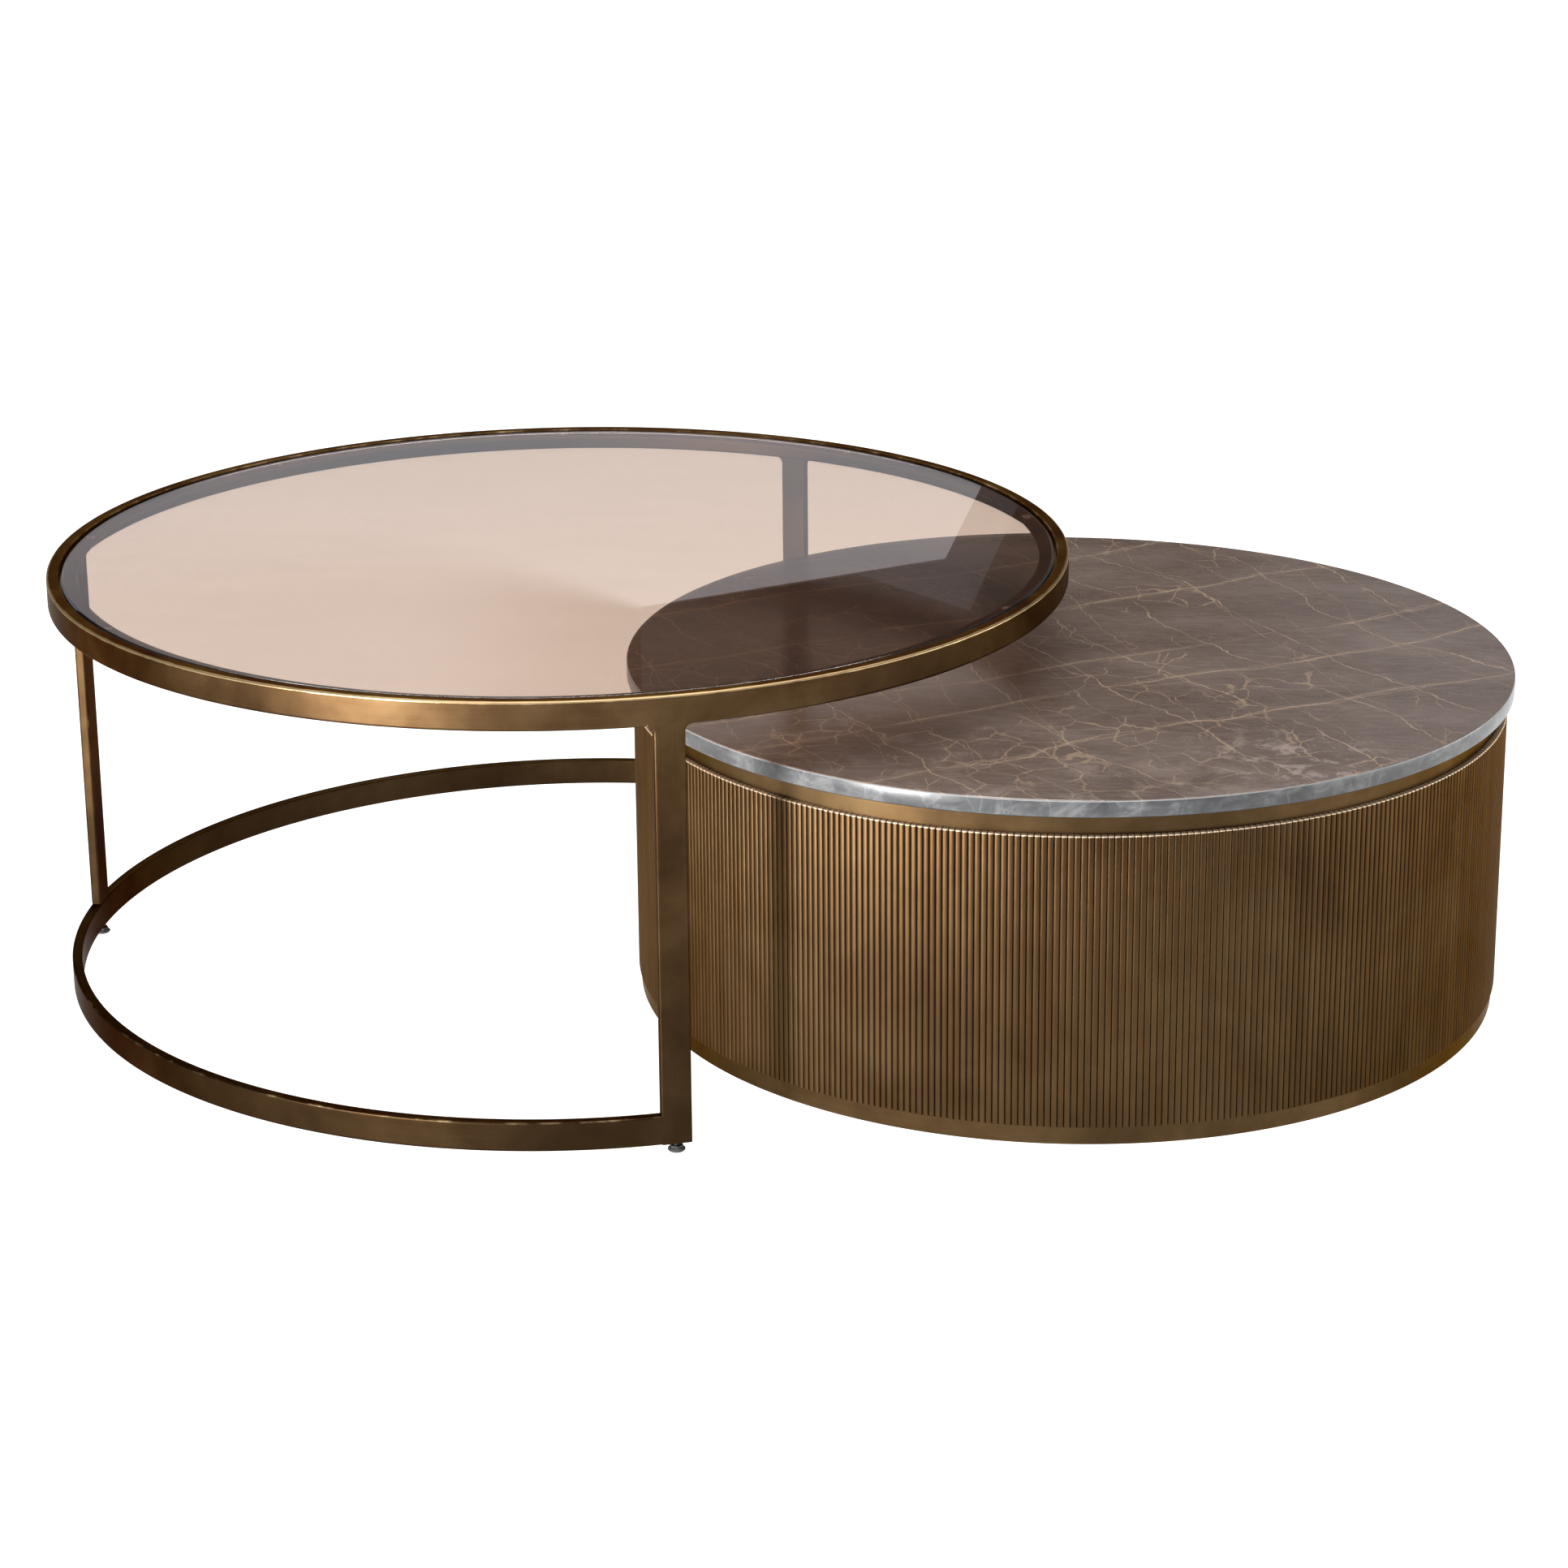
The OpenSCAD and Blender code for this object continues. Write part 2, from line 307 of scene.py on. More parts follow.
marbleLook = {
    "ground": ((0.111, 0.078, 0.064), (0.151, 0.110, 0.091), (0.193, 0.147, 0.124)),
    "vein": (0.52, 0.37, 0.245),
    "haze": (0.215, 0.160, 0.125),
    "cloudPink": (0.46, 0.37, 0.33),
    "edge": ((0.026, 0.0265, 0.028), (0.050, 0.051, 0.053), (0.13, 0.13, 0.132)),
    # painted highlight on the upper eased edge
    "arris": (0.30, 0.30, 0.295),
    "under": (0.012, 0.010, 0.009),    # sawn underside, resin and shade
    "longTurn": 33,                    # the long braided veins run this way from +X
    "longGap": 0.135,
    "shortTurn": -55,                  # and the thin wandering ones this way
    "shortGap": 0.088,
    "pinkAt": (0.247, -0.277, 0),      # from the middle of the drum
}


# Brown-grey marble: braided long veins, thin crossing ones, fine cracks, specks, a cooler sawn edge
def makeMarble():
    material, g = newMaterial("marble")
    look = marbleLook
    middle = (drumMid, 0, marbleTop)
    here = g.place(origin=middle)

    # parallel veins on warped lines; every line has its own place, strength and breaks
    def veins(turn, gap, sway, jag, jagScale, width, seed):
        turned = g.add("ShaderNodeMapping", {},
                       {"Vector": here, "Location": (0.37, 0.61, 0), "Rotation": (0, 0, math.radians(-turn))})
        shifted = g.add("ShaderNodeMapping", {}, {"Vector": turned, "Location": (seed, seed * 1.7, 0)})
        slow = g.noise(turned, 3.4, 2) - 0.5
        quick = g.noise(shifted, jagScale, 3, 0.6) - 0.5
        fine = g.noise(shifted, 95, 3, 0.6) - 0.5
        count = (g.axis(turned, 1) + slow * sway + quick * jag + fine * (5 * mm)) / gap
        number = g.add("ShaderNodeMath", {"operation": "FLOOR"}, {0: count})
        own = g.add("ShaderNodeTexWhiteNoise", {"noise_dimensions": "1D"}, {"W": number})
        share = g.add("ShaderNodeMath", {"operation": "FRACT"}, {0: count})
        away = g.add("ShaderNodeMath", {"operation": "ABSOLUTE"}, {0: share - 0.5 - (own - 0.5) * 0.5})
        swell = g.noise(shifted, 30, 3, 0.6)
        line = g.step(away * gap / (width * (0.35 + swell * swell * 3)), 1.0, 0.1)
        return line * g.step(g.noise(shifted, 8, 2) + own * 0.12, 0.40, 0.62)

    longVeins = 0.0
    for strand, width in enumerate((1.15 * mm, 0.95 * mm, 0.7 * mm)):
        one = veins(look["longTurn"], look["longGap"], 0.07, 0.034, 9 + 4 * strand, width, 2.3 * strand)
        longVeins = one * (0.9 - 0.2 * strand) + longVeins
    shortVeins = veins(look["shortTurn"], look["shortGap"], 0.13, 0.034, 13, 1.0 * mm, 5.1)
    shortVeins = shortVeins + veins(look["shortTurn"] - 9, 0.06, 0.10, 0.03, 16, 0.75 * mm, 8.4) * 0.5
    glow = veins(look["longTurn"], look["longGap"], 0.07, 0.034, 9, 9 * mm, 0.0)

    bend = g.add("ShaderNodeTexNoise", {}, {"Vector": here, "Scale": 14.0, "Detail": 5.0}, "Color")
    warped = g.add("ShaderNodeVectorMath", {"operation": "MULTIPLY_ADD"},
                   {0: bend, 1: (0.05, 0.05, 0.05), 2: here})
    border = g.add("ShaderNodeTexVoronoi", {"feature": "DISTANCE_TO_EDGE"}, {"Vector": warped, "Scale": 24.0})
    front = g.step(g.axis(here, 1) + g.axis(here, 0) * 0.25, -0.12, -0.36)
    broken = g.step(g.noise(warped, 13, 3) + front * 0.12, 0.5, 0.66)
    crackle = g.step(border, 0.03, 0.004) * broken

    cloud = g.noise(g.place(origin=middle, turn=look["longTurn"], stretch=(0.6, 1.4, 1)), 7, 5, 0.62, 0.3)
    grain = g.noise(g.place(origin=middle, turn=look["longTurn"], stretch=(0.3, 1, 1)), 150, 4, 0.65)
    speck = g.step(g.noise(here, 330, 2, 0.7), 0.61, 0.72)
    colour = g.ramp(cloud * 0.6 + grain * 0.4, *zip((0.36, 0.5, 0.64), look["ground"]))
    colour = g.mix(glow * 0.35, colour, (*look["haze"], 1))
    milk = g.step(g.noise(warped, 17, 6, 0.7), 0.48, 0.66) * front
    colour = g.mix(milk * 0.22, colour, (*look["cloudPink"], 1))
    colour = g.mix(crackle * 0.4, colour, (*look["vein"], 1))
    total = g.add("ShaderNodeMath", {"operation": "MINIMUM"}, {0: longVeins + shortVeins, 1: 1.0})
    colour = g.mix(total * 0.58, colour, (*look["vein"], 1))
    colour = g.mix(speck * 0.28, colour, (*look["vein"], 1))
    spot = g.add("ShaderNodeVectorMath", {"operation": "DISTANCE"}, {0: warped, 1: look["pinkAt"]}, 1)
    pink = g.step(spot, 0.13, 0.02) * g.step(g.noise(warped, 40, 5, 0.72), 0.5, 0.62)
    colour = g.mix(pink * 0.5, colour, (*look["cloudPink"], 1))

    upward = g.axis(g.add("ShaderNodeNewGeometry", output="Normal"), 2)
    top = g.step(upward, 0.6, 0.95)
    streak = g.noise(g.place(origin=middle, stretch=(1, 1, 1.6)), 30, 5, 0.68, 0.6)
    side = g.ramp(streak, *zip((0.34, 0.5, 0.68), look["edge"]))
    side = g.mix((total * 0.4 + crackle * 0.3), side, (*look["edge"][2], 1))
    colour = g.mix(top, side, colour)
    # painted highlight along the upper eased edge
    arris = g.step(upward, 0.15, 0.5) * (1 - top)
    colour = g.mix(arris * 0.75, colour, (*look["arris"], 1))
    under = g.step(upward, -0.2, -0.6)
    colour = g.mix(under, colour, (*look["under"], 1))
    rough = 0.12 + (1 - top) * 0.14 + total * 0.06 + cloud * 0.05
    relief = g.bump(1 - total * 0.5 - speck * 0.3, 0.1, 0.05 * mm)
    g.finish(g.surface(baseColor=colour, roughness=rough, ior=1.5, normal=relief))
    return material


marbleStone = makeMarble()


# Small dull parts: one tone with grain, mottling and a fine tooth
def makePlain(name, dark, light, metallic, rough, grain, stretch=(1, 1, 1), depth=0.05 * mm):
    material, g = newMaterial(name)
    fine = g.noise(g.place(stretch=stretch), grain, 4, 0.6)
    broad = g.noise(g.place(), grain * 0.11, 3, 0.55)
    colour = g.ramp(fine * 0.5 + broad * 0.5, (0.36, dark), (0.64, light))
    relief = g.bump(fine, 0.3, depth)
    g.finish(g.surface(baseColor=colour, metallic=metallic, roughness=rough + broad * 0.15,
                       normal=relief))
    return material


footPlastic = makePlain("footPlastic", (0.012, 0.012, 0.012), (0.03, 0.03, 0.029), 0.0, 0.42, 1800)
glideNylon = makePlain("glideNylon", (0.30, 0.29, 0.26), (0.42, 0.40, 0.37), 0.0, 0.4, 1500)
zincSteel = makePlain("zincSteel", (0.035, 0.035, 0.034), (0.07, 0.07, 0.067), 1.0, 0.4, 2600)
screwSteel = makePlain("screwSteel", (0.20, 0.18, 0.14), (0.45, 0.40, 0.30), 1.0, 0.28, 2600)
innerSteel = makePlain("innerSteel", (0.10, 0.10, 0.10), (0.17, 0.17, 0.165), 1.0, 0.4, 900)
battenWood = makePlain("battenWood", (0.42, 0.27, 0.14), (0.62, 0.44, 0.26), 0.0, 0.55, 160,
                       (1, 1, 0.06), 0.2 * mm)


# Birch plywood: plies show on the edges, rotary-cut figure on the faces
def makePlywood():
    material, g = newMaterial("plywood")
    figure = g.noise(g.place(stretch=(1, 7, 1)), 14, 5, 0.6, 1.2)
    pores = g.noise(g.place(stretch=(0.05, 1, 1)), 900, 2, 0.6)
    face = g.ramp(figure * 0.8 + pores * 0.2, (0.35, (0.46, 0.31, 0.17)), (0.65, (0.66, 0.50, 0.32)))
    height = g.axis(g.place(), 2)
    ply = g.add("ShaderNodeMath", {"operation": "PINGPONG"}, {0: height, 1: 1.5 * mm})
    layer = g.step(ply, 0.6 * mm, 0.9 * mm)
    edge = g.mix(layer, (0.27, 0.16, 0.08, 1), (0.58, 0.41, 0.24, 1))
    upright = g.add("ShaderNodeMath", {"operation": "ABSOLUTE"},
                    {0: g.axis(g.add("ShaderNodeNewGeometry", output="Normal"), 2)})
    colour = g.mix(g.step(upright, 0.3, 0.7), edge, face)
    relief = g.bump(pores, 0.25, 0.1 * mm)
    g.finish(g.surface(baseColor=colour, roughness=0.5 + figure * 0.15, normal=relief))
    return material


plywood = makePlywood()


# Clear soft bumper: milky, with a soft gloss
def makeBumper():
    material, g = newMaterial("clearBumper")
    haze = g.noise(g.place(), 300, 3, 0.6)
    colour = g.ramp(haze, (0.35, (0.66, 0.67, 0.66)), (0.65, (0.82, 0.83, 0.82)))
    g.finish(g.surface(baseColor=colour, roughness=0.22 + haze * 0.1, transmissionWeight=0.55,
                       ior=1.45, normal=g.bump(haze, 0.1, 0.05 * mm)))
    return material


clearBumper = makeBumper()
print("materials ready")


# Points round a rounded rectangle, counter-clockwise: (across, up, edge); edge says how rubbed each corner is
# and how much painted highlight it carries
def roundedSection(wide, high, rounding, steps=4, support=0.8 * mm, worn=(0.4, 0.3, 0.3, 0.3)):
    points = []
    for corner in range(4):
        sx, sy = ((1, 1), (-1, 1), (-1, -1), (1, -1))[corner]
        cx = sx * (wide / 2 - rounding)
        cy = sy * (high / 2 - rounding)
        start = corner * math.pi / 2
        turns = [start + math.pi / 2 * i / steps for i in range(steps + 1)]
        arc = [(cx + rounding * math.cos(a), cy + rounding * math.sin(a)) for a in turns]
        lead = (math.sin(start) * support, -math.cos(start) * support)
        points.append((arc[0][0] + lead[0], arc[0][1] + lead[1], 0.0))
        for i, (px, py) in enumerate(arc):
            points.append((px, py, worn[corner] * (1.0 if 0 < i < steps else 0.6)))
        trail = (-math.cos(start) * support, -math.sin(start) * support)
        points.append((arc[-1][0] + trail[0], arc[-1][1] + trail[1], 0.0))
    return points


def lengths(points, loop):
    # running distance along points
    ends = points + points[:1] if loop else points
    total = [0.0]
    for first, second in zip(ends, ends[1:]):
        total.append(total[-1] + (Vector(second) - Vector(first)).length)
    return total


# A skin over rings of points, closed round itself or capped at both ends, with a map in metres
def loft(name, rings, loop, edges, material):
    bm = bmesh.new()
    uv = bm.loops.layers.uv.new("map")
    edgeLayer = bm.verts.layers.float.new("edge")
    rows = []
    for ring in rings:
        rows.append([bm.verts.new(p) for p in ring])
        for vert, edge in zip(rows[-1], edges):
            vert[edgeLayer] = edge
    widest = max(range(len(rings[0])), key=lambda i: Vector(rings[0][i]).xy.length)
    ringWay = lengths([r[widest] for r in rings], loop)
    pointWay = lengths(rings[len(rings) // 2], True)
    count = len(rings[0])
    for i in range(len(rings) if loop else len(rings) - 1):
        here, there = rows[i], rows[(i + 1) % len(rings)]
        for j in range(count):
            k = (j + 1) % count
            face = bm.faces.new((here[j], there[j], there[k], here[k]))
            face.smooth = True
            corners = ((i, j), (i + 1, j), (i + 1, j + 1), (i, j + 1))
            for corner, (a, b) in zip(face.loops, corners):
                corner[uv].uv = (ringWay[a], pointWay[b])
    if not loop:
        for end in (rows[0], rows[-1]):
            bm.faces.new(end)
    bmesh.ops.remove_doubles(bm, verts=bm.verts, dist=1e-6)
    bmesh.ops.dissolve_degenerate(bm, edges=bm.edges, dist=1e-7)
    bmesh.ops.recalc_face_normals(bm, faces=bm.faces)
    mesh = bpy.data.meshes.new(name)
    bm.to_mesh(mesh)
    bm.free()
    mesh.materials.append(material)
    mesh.set_sharp_from_angle(angle=math.radians(40))
    piece = bpy.data.objects.new(name, mesh)
    bpy.context.scene.collection.objects.link(piece)
    return piece


# A section (radius, height, edge) turned about the upright line at x = middle
def lathe(name, section, middle, material, steps=720, start=0.0, end=360.0):
    loop = end - start >= 360
    turns = [math.radians(start + (end - start) * i / steps)
             for i in range(steps if loop else steps + 1)]
    rings = [[(middle + r * math.cos(a), r * math.sin(a), z) for r, z, _ in section]
             for a in turns]
    return loft(name, rings, loop, [edge for _, _, edge in section], material)


def settle(piece, body, slot, *nodes):
    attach(piece, body)
    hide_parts(*nodes)


bars = {
    "rimWide": 12 * mm,
    "rimHigh": rimTop - rimBottom,
    "barThick": 10 * mm,
    "barWide": 28 * mm,
    "rounding": 2 * mm,
    "legAngles": {"leg_front": -69, "leg_rear": 69, "leg_left": 180},
    "legInset": 0.2 * mm,         # a flat leg stays inside the round rim
    "fillet": 7 * mm,             # weld fillet under the rim
    "intoRim": 2.4 * mm,          # the weld fills the rim's rounded lower edge
    "intoLeg": 3 * mm,            # the base ring runs this far into the legs
    "rimWornHighlight": (1.0, 0.5, 0.3, 0.3),   # the outer top edge is handled most and carries the most painted highlight
    "baseWornHighlight": (0.5, 0.3, 0.2, 0.2),
    "baseSteps": 440,             # the open base ring's rings of points
    "filletLead": 0.8 * mm,       # the bar's last ring of points is this far below the fillet
    "filletSteps": 8,
    "holeRadius": 3.1 * mm,
    "holeRing": 494.8 * mm,       # from the middle of the frame to a foot
    "holeTop": 28.8 * mm,         # a little past the stud's end when the foot is screwed right up
    "drillLead": 1 * mm,          # the drill starts this far below the bar
}
ledgeBar = {"inner": 471 * mm, "rounding": 0.5 * mm, "support": 0.4 * mm, "steps": 2}


# Cuts the round hole of a levelling foot up into a piece from below
def drill(piece, middle):
    bottom, top = frameBottom - bars["drillLead"], bars["holeTop"]
    bpy.ops.mesh.primitive_cylinder_add(vertices=48, radius=bars["holeRadius"], depth=top - bottom,
                                        location=(*middle, (top + bottom) / 2))
    tool = bpy.context.object
    cut = piece.modifiers.new("drill", "BOOLEAN")
    cut.operation = "DIFFERENCE"
    cut.solver = "EXACT"
    cut.object = tool
    drilled = bpy.data.meshes.new_from_object(piece.evaluated_get(bpy.context.evaluated_depsgraph_get()))
    piece.modifiers.clear()
    piece.data = drilled
    bpy.data.objects.remove(tool)


def makeRim():
    middle = rimRadius - bars["rimWide"] / 2
    height = (rimTop + rimBottom) / 2
    section = [(middle + a, height + b, edge)
               for a, b, edge in roundedSection(bars["rimWide"], bars["rimHigh"], bars["rounding"],
                                                worn=bars["rimWornHighlight"])]
    settle(lathe("rim", section, frameMid, frameBronze), "tall_table", "frame_bronze", "top_rim")


def makeBaseRing():
    middle = rimRadius - bars["barThick"] / 2
    high = baseTop - frameBottom
    section = [(middle + a, (baseTop + frameBottom) / 2 + b, edge)
               for a, b, edge in roundedSection(bars["barThick"], high, bars["rounding"],
                                                worn=bars["baseWornHighlight"])]
    halfLeg = bars["barWide"] / 2 - bars["intoLeg"]
    first = bars["legAngles"]["leg_rear"] + math.degrees(math.asin(halfLeg / middle))
    ring = lathe("baseRing", section, frameMid, frameBronze, bars["baseSteps"], first, 360 - first)
    drill(ring, (frameMid - bars["holeRing"], 0))
    settle(ring, "tall_table", "frame_bronze", "base_ring")


# An upright flat bar that spreads into the rim through hollow weld fillets
def makeLeg(node, angle):
    bottom = baseTop if node == "leg_left" else frameBottom
    outer = rimRadius - bars["legInset"]
    middle = outer - bars["barThick"] / 2
    section = roundedSection(bars["barWide"], bars["barThick"], bars["rounding"])
    reach = bars["fillet"]
    steps = bars["filletSteps"]
    levels = [(bottom, 0.0), (rimBottom - reach - bars["filletLead"], 0.0)]
    for i in range(steps + 1):
        a = math.pi / 2 * i / steps
        levels.append((rimBottom - reach + reach * math.sin(a), reach * (1 - math.cos(a))))
    levels.append((rimBottom + bars["intoRim"], reach))
    turn = Matrix.Translation((frameMid, 0, 0)) @ Matrix.Rotation(math.radians(angle), 4, "Z")
    rings = []
    for z, spread in levels:
        flat = bars["barWide"] / 2 - bars["rounding"]
        rings.append([turn @ Vector((middle - b, a + math.copysign(spread, a) * min(1, abs(a) / flat), z))
                      for a, b, _ in section])
    leg = loft(node.title().replace("_", ""), rings, False, [e for _, _, e in section], frameBronze)
    if node != "leg_left":
        hole = turn @ Vector((bars["holeRing"], 0, 0))
        drill(leg, hole.xy)
    settle(leg, "tall_table", "frame_bronze", node)


def makeLedge():
    inner, outer = ledgeBar["inner"], rimRadius - bars["rimWide"]
    low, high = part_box("glass_ledge")[0].z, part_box("glass_ledge")[1].z
    corners = roundedSection(outer - inner, high - low, ledgeBar["rounding"], ledgeBar["steps"],
                             ledgeBar["support"])
    section = [((inner + outer) / 2 + a, (low + high) / 2 + b, edge) for a, b, edge in corners]
    settle(lathe("ledge", section, frameMid, ledgeLitBronze), "tall_table", "frame_bronze", "glass_ledge")


makeRim()
makeLedge()
makeBaseRing()
for legNode, legAngle in bars["legAngles"].items():
    makeLeg(legNode, legAngle)
print("frame bars ready")

glassPane = {"bevelWide": 2 * mm, "bevelDeep": 1 * mm, "arris": 0.5 * mm, "support": 1 * mm}
marbleSlab = {"chamfer": 1.5 * mm, "steps": 3, "support": 2 * mm}
bandSheet = {"thick": 2 * mm, "rounding": 0.5 * mm, "support": 0.3 * mm, "steps": 2}


# A round pane, flat above and below, bevelled at the top edge and blunted at the lower one
def makeGlassPane():
    radius, low, high = ringOf("glass_top")[1:]
    wide, deep, arris = glassPane["bevelWide"], glassPane["bevelDeep"], glassPane["arris"]
    support = glassPane["support"]
    section = [(0, high, 0), (radius - wide - support, high, 0), (radius - wide, high, 0),
               (radius, high - deep, 0), (radius, low + arris, 0), (radius - arris, low, 0),
               (radius - arris - support, low, 0), (0, low, 0)]
    settle(lathe("glassPane", section, frameMid, bronzeGlass), "glass", "bronze_glass", "glass_top")


def makeMarbleSlab():
    chamfer = marbleSlab["chamfer"]
    steps = marbleSlab["steps"]
    support = marbleSlab["support"]
    quarter = [math.pi / 2 * i / steps for i in range(steps + 1)]
    section = [(0, marbleTop, 0), (marbleRadius - chamfer - support, marbleTop, 0)]
    section += [(marbleRadius - chamfer * (1 - math.sin(a)), marbleTop - chamfer * (1 - math.cos(a)), 1)
                for a in quarter]
    section += [(marbleRadius - chamfer * (1 - math.cos(a)), marbleBottom + chamfer * (1 - math.sin(a)), 1)
                for a in quarter]
    section += [(marbleRadius - chamfer - support, marbleBottom, 0), (0, marbleBottom, 0)]
    settle(lathe("marbleSlab", section, drumMid, marbleStone), "marble", "marble", "marble_top")


def makeBand(name, node):
    radius, low, high = ringOf(node)[1:]
    middle = radius - bandSheet["thick"] / 2
    corners = roundedSection(bandSheet["thick"], high - low, bandSheet["rounding"], bandSheet["steps"],
                             bandSheet["support"])
    section = [(middle + a, (low + high) / 2 + b, edge) for a, b, edge in corners]
    settle(lathe(name, section, drumMid, bandBronze), "drum_table", "band_bronze", node)


makeGlassPane()
makeMarbleSlab()
makeBand("upperBand", "upper_band")
makeBand("lowerBand", "lower_band")
print("glass, marble and bands ready")


# One rib of the sheet, a few dozen faces, lying across +X; its two sides are open so that neighbours weld
def makeRibMesh():
    half = math.pi / ribs["count"]
    shares = ribs["shares"]
    columns = len(shares) - 1
    crest = [skinRadius - ribs["depth"] * (1 - (1 - abs(s) ** ribs["roundness"]) ** 0.5) for s in shares]
    back = [skinRadius - ribs["back"]] * (columns + 1)
    lip = ribs["lip"]
    rounding = [math.pi / 2 * i / 3 for i in range(4)]
    rows = [(back, skinBottom)]
    rows += [([c - lip * 0.5 * (1 - math.cos(a)) for c in crest], skinBottom + lip * 0.5 * (1 - math.sin(a)))
             for a in reversed(rounding[:2])]
    rows += [([c - lip * (1 - math.cos(a)) for c in crest], skinTop - lip * (1 - math.sin(a)))
             for a in rounding]
    hem = [c - ribs["hem"] for c in back]
    rows += [(hem, skinTop), (hem, skinTop - ribs["hemHigh"]), (back, skinTop - ribs["hemHigh"])]
    bm = bmesh.new()
    grid = [[bm.verts.new((r * math.cos(s * half), r * math.sin(s * half), z))
             for r, s in zip(radii, shares)] for radii, z in rows]
    for i in range(len(grid)):
        for j in range(columns):
            face = bm.faces.new((grid[i][j], grid[i][j + 1], grid[i - 1][j + 1], grid[i - 1][j]))
            face.smooth = True
    mesh = bpy.data.meshes.new("oneRib")
    bm.to_mesh(mesh)
    bm.free()
    return mesh


# Geometry Nodes: turns one rib round the drum, welds the neighbours and gives the sheet its finish
def makeRibTree():
    tree = bpy.data.node_groups.new("ribsRound", "GeometryNodeTree")
    face = tree.interface
    face.new_socket("Geometry", in_out="INPUT", socket_type="NodeSocketGeometry")
    face.new_socket("Rib count", in_out="INPUT", socket_type="NodeSocketInt")
    face.new_socket("Middle", in_out="INPUT", socket_type="NodeSocketVector")
    face.new_socket("Weld", in_out="INPUT", socket_type="NodeSocketFloat")
    face.new_socket("Finish", in_out="INPUT", socket_type="NodeSocketMaterial")
    face.new_socket("Geometry", in_out="OUTPUT", socket_type="NodeSocketGeometry")
    g = Graph(tree)
    rib = g.add("NodeGroupInput", output="Geometry")
    given = {s.name: Wire(g, s) for s in rib.socket.node.outputs}
    spots = g.add("GeometryNodePoints", {}, {"Count": given["Rib count"], "Position": given["Middle"]})
    number = g.add("GeometryNodeInputIndex")
    turn = number * math.tau / given["Rib count"]
    spin = g.add("ShaderNodeCombineXYZ", {}, {"Z": turn})
    copies = g.add("GeometryNodeInstanceOnPoints", {},
                   {"Points": spots, "Instance": rib, "Rotation": spin})
    sheet = g.add("GeometryNodeRealizeInstances", {}, {"Geometry": copies})
    welded = g.add("GeometryNodeMergeByDistance", {}, {"Geometry": sheet, "Distance": given["Weld"]})
    finished = g.add("GeometryNodeSetMaterial", {}, {"Geometry": welded, "Material": given["Finish"]})
    g.add("NodeGroupOutput", {}, {"Geometry": finished})
    return tree


def makeRibbedSheet():
    piece = bpy.data.objects.new("ribbedSheet", makeRibMesh())
    bpy.context.scene.collection.objects.link(piece)
    modifier = piece.modifiers.new("ribs", "NODES")
    modifier.node_group = makeRibTree()
    values = {"Rib count": ribs["count"], "Middle": (drumMid, 0, 0), "Weld": ribs["weld"],
              "Finish": ribbedBronze}
    for item in modifier.node_group.interface.items_tree:
        if item.in_out == "INPUT" and item.name in values:
            modifier[item.identifier] = values[item.name]
    evaluated = piece.evaluated_get(bpy.context.evaluated_depsgraph_get())
    mesh = bpy.data.meshes.new_from_object(evaluated)
    piece.modifiers.clear()
    piece.data = mesh
    mesh.set_sharp_from_angle(angle=math.radians(50))
    print("ribbed sheet:", len(mesh.polygons), "faces")
    settle(piece, "drum_table", "ribbed_bronze", "ribbed_skin")


makeRibbedSheet()


# The CAD pieces that stay get a finish by the words in their names
finishes = {
    clearBumper: ["glass_pads", "marble_pads"],
    footPlastic: ["foot_pad"],
    zincSteel: ["foot_stud"],
    glideNylon: ["glide"],
    screwSteel: ["screw"],
    innerSteel: ["inner_wall"],
    battenWood: ["batten"],
    plywood: ["board", "top_ring"],
}
replaced = {"top_rim", "glass_ledge", "base_ring", "glass_top", "marble_top", "upper_band", "lower_band",
            "ribbed_skin", *bars["legAngles"]}
for nodeName, cadNode in cadNodes.items():
    if nodeName in replaced:
        continue
    matches = [m for m, words in finishes.items() if any(w in nodeName for w in words)]
    finish = screwSteel if "screw" in nodeName else matches[0]
    cadNode.data.materials.clear()
    cadNode.data.materials.append(finish)
print("CAD pieces finished")

studio = {
    "floorRadius": 60.0,
    "floorGlow": (1.19, 0.95),  # the floor's own light near the tables and far away
    "glowReach": (1.2, 3.6),
    "skyLow": 0.04,            # the dark wall that the glass and the marble mirror
    "skyHigh": 0.36,           # the rest of the sky
    "horizon": 0.6,            # low down, all the way round
    "cardGlow": 0.58,
    "cardTint": (0.86, 0.91, 1.0),
    "cardPlane": 3.0,          # the cards stand this far back
    "paleShare": 0.19,         # of the cards' glow
    "rightShare": 0.45,
    "rightFrom": 0.22,         # the right card's glow grows from here
    "rightFull": 0.9,
    "cardHeights": (1.0, 1.9),
    "cardSides": (-3.2, 2.4),
    "cardEnd": (-0.637, 1.384),        # left of this the card's lower edge turns soft
    "cardOval": (-1.18, 1.93, 1.146, 0.62, 0.6),   # middle, radii and share of the glow of a dimmer oval
}


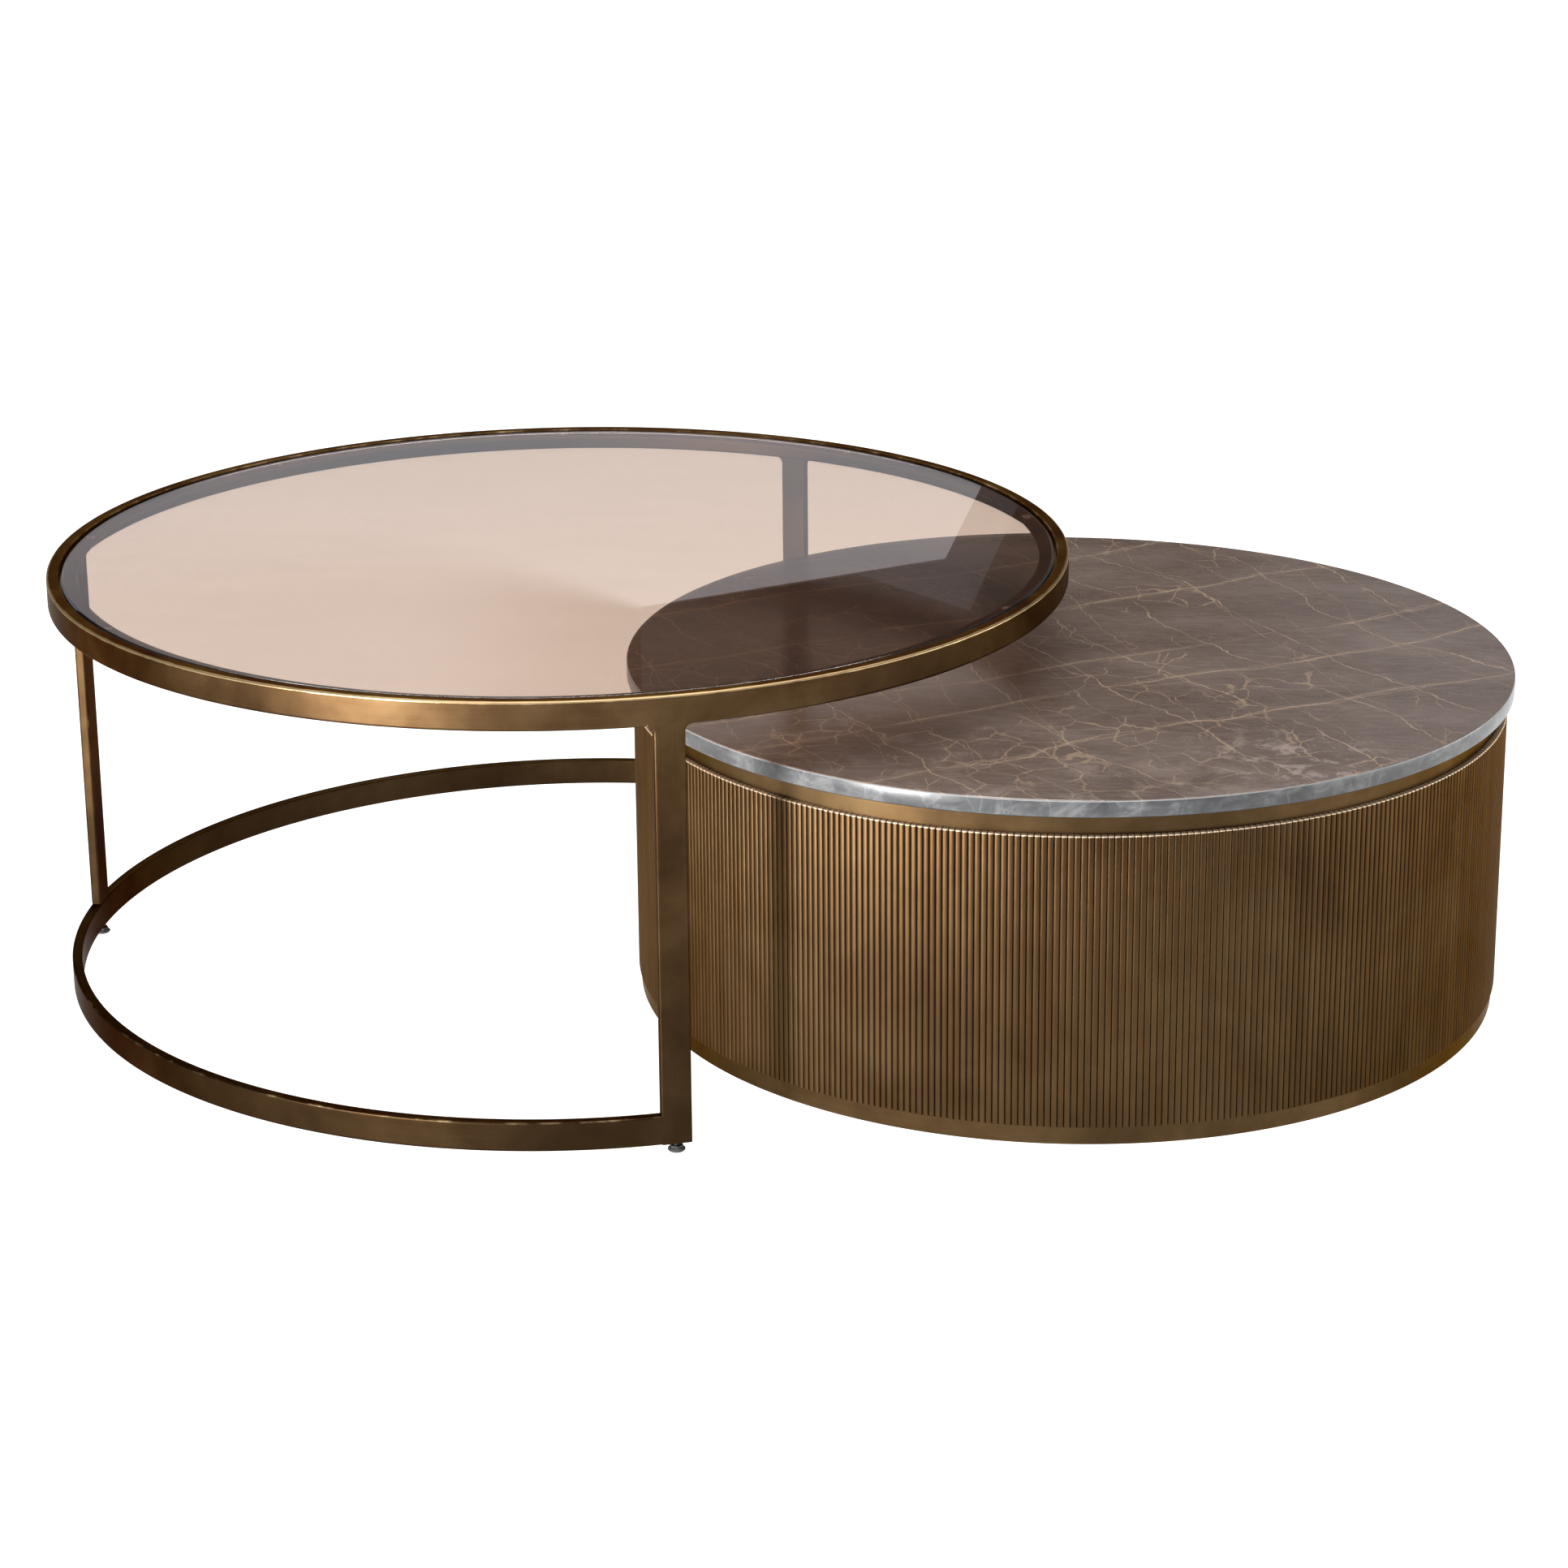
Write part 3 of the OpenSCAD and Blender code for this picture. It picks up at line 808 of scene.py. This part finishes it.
def makeStudio():
    bpy.ops.mesh.primitive_circle_add(vertices=96, radius=studio["floorRadius"], fill_type="NGON")
    floor = bpy.context.object
    floor.name = "floor"
    material, g = newMaterial("paleFloor")
    cloud = g.noise(g.place(), 0.7, 2, 0.5)
    colour = g.ramp(cloud, (0.3, (0.36, 0.36, 0.36)), (0.7, (0.39, 0.39, 0.39)))
    away = g.add("ShaderNodeVectorMath", {"operation": "LENGTH"}, {0: g.place()}, 1)
    near, far = studio["floorGlow"]
    glow = g.step(away, *studio["glowReach"]) * (far - near) + near
    g.finish(g.surface(baseColor=colour, roughness=0.9, emissionColor=(1, 1, 1, 1), emissionStrength=glow))
    floor.data.materials.append(material)
    world = bpy.data.worlds.new("studio")
    bpy.context.scene.world = world
    world.use_nodes = True
    g = Graph(world.node_tree)
    way = g.add("ShaderNodeTexCoord", output="Generated")
    up = g.axis(way, 2)
    ahead = g.step(g.axis(way, 1), 0.45, 0.72)
    clear = 1 - ahead * g.step(up, 0.85, 0.33)
    horizon = g.step(up, 0.15, 0.09)
    amount = clear * (studio["skyHigh"] - studio["skyLow"]) + studio["skyLow"]
    amount = amount * (1 - horizon) + horizon * studio["horizon"]
    # white where the camera looks straight at it
    seen = g.add("ShaderNodeLightPath", output="Is Camera Ray")
    sky = g.add("ShaderNodeBackground", {},
                {"Color": (1, 1, 1, 1), "Strength": amount * (1 - seen) + seen})
    g.add("ShaderNodeOutputWorld", {}, {"Surface": sky})


# A pale card behind the tables, for reflections and rays through the glass; corners are (x, z)
def makeCard(name, corners, glowOf):
    mesh = bpy.data.meshes.new(name)
    mesh.from_pydata([(x, studio["cardPlane"], z) for x, z in corners], [], [range(len(corners))])
    card = bpy.data.objects.new(name, mesh)
    bpy.context.scene.collection.objects.link(card)
    material, g = newMaterial(name)
    strength = glowOf(g) * studio["cardGlow"]
    g.finish(g.add("ShaderNodeEmission", {}, {"Color": (*studio["cardTint"], 1), "Strength": strength}))
    mesh.materials.append(material)
    card.visible_camera = False
    card.visible_diffuse = False
    card.visible_shadow = False


# full outside a wide oval; inside it dark near the card's end and brighter to the left
def wallGlow(g):
    x, z, wide, high, share = studio["cardOval"]
    end = studio["cardEnd"][0]
    left = end - g.axis(g.place(), 0)
    oval = g.add("ShaderNodeVectorMath", {"operation": "LENGTH"},
                 {0: g.place((x, studio["cardPlane"], z), stretch=(1 / wide, 0, 1 / high))}, 1)
    spread = g.add("ShaderNodeMath", {"operation": "MAXIMUM"}, {0: left, 1: 0.0}) * 0.28 + 0.015
    outside = g.step(oval, 1 - spread, 1 + spread)
    inside = g.step(left, 0, 0.5) * share
    return outside * (1 - inside) + inside


def paleGlow(g):
    return g.noise(g.place(), 1, 1) * 0.02 + studio["paleShare"]


def rightGlow(g):
    return g.step(g.axis(g.place(), 0), studio["rightFrom"], studio["rightFull"]) * studio["rightShare"]


# A soft box at a place, facing a point
def softBox(name, place, aim, wide, high, watts):
    light = bpy.data.lights.new(name, "AREA")
    light.shape = "RECTANGLE"
    light.size = wide
    light.size_y = high
    light.energy = watts
    lamp = bpy.data.objects.new(name, light)
    lamp.location = place
    lamp.rotation_mode = "QUATERNION"
    lamp.rotation_quaternion = (Vector(aim) - Vector(place)).to_track_quat("-Z", "Y")
    lamp.visible_camera = False
    bpy.context.scene.collection.objects.link(lamp)


makeStudio()
cardLow, cardHigh = studio["cardHeights"]
cardLeft, cardRight = studio["cardSides"]
cardEnd, rightFrom = studio["cardEnd"], studio["rightFrom"]
makeCard("wallCard", ((0.065, cardLow), (-0.065, 1.275), cardEnd, (cardEnd[0], cardHigh),
                      (cardLeft, cardHigh), (cardLeft, cardLow)), wallGlow)
makeCard("paleCard", ((0.14, cardLow), (0.043, 1.229), (-0.019, 1.374), (-0.226, 1.31), (-0.065, 1.275),
                      (0.065, cardLow)), paleGlow)
makeCard("rightCard", ((cardRight, cardLow), (rightFrom, cardLow), (rightFrom, cardHigh),
                       (cardRight, cardHigh)), rightGlow)
lamps = {   # place, aim, width, height, watts
    "keyLow": ((-1.43, -2.37, 0.34), (0.05, -0.35, 0.18), 0.30, 0.55, 150),
    "frontTop": ((0.2, -1.3, 3.0), (0.1, -0.2, 0.3), 3.0, 1.0, 46),
    "topFill": ((0.3, 0.9, 3.6), (0.2, 0, 0), 3.0, 2.4, 40),
    "backFill": ((-0.8, 3.0, 2.9), (0, 0.4, 0.2), 2.2, 0.8, 55),
    "rightEdge": ((3.1, 0.1, 0.35), (0.6, 0, 0.2), 3.2, 0.6, 44),
}
for lampName, lampFacts in lamps.items():
    softBox(lampName, *lampFacts)

shot = {
    "lens": 82.5,
    "sensor": 36,
    "shift": -0.1066,
    "place": (0.4253, -3.3685, 1.3752),
    "pitch": 16.64,            # downwards, in degrees
    "yaw": -7.08,
    "roll": -0.52,
}
camera = bpy.data.cameras.new("camera")
camera.lens = shot["lens"]
camera.sensor_width = shot["sensor"]
camera.shift_y = shot["shift"]
cameraObject = bpy.data.objects.new("camera", camera)
bpy.context.scene.collection.objects.link(cameraObject)


def aimCamera():
    pitch, yaw, roll = (math.radians(shot[k]) for k in ("pitch", "yaw", "roll"))
    ahead = Vector((math.sin(yaw) * math.cos(pitch), math.cos(yaw) * math.cos(pitch), -math.sin(pitch)))
    right = Vector((math.cos(yaw), -math.sin(yaw), 0))
    up = right.cross(ahead)
    rolledRight = right * math.cos(roll) + up * math.sin(roll)
    rolledUp = up * math.cos(roll) - right * math.sin(roll)
    turn = Matrix((rolledRight, rolledUp, -ahead)).transposed()
    cameraObject.matrix_world = Matrix.Translation(shot["place"]) @ turn.to_4x4()


aimCamera()
bpy.context.scene.camera = cameraObject
bpy.context.scene.view_settings.view_transform = "Standard"
print("studio ready")
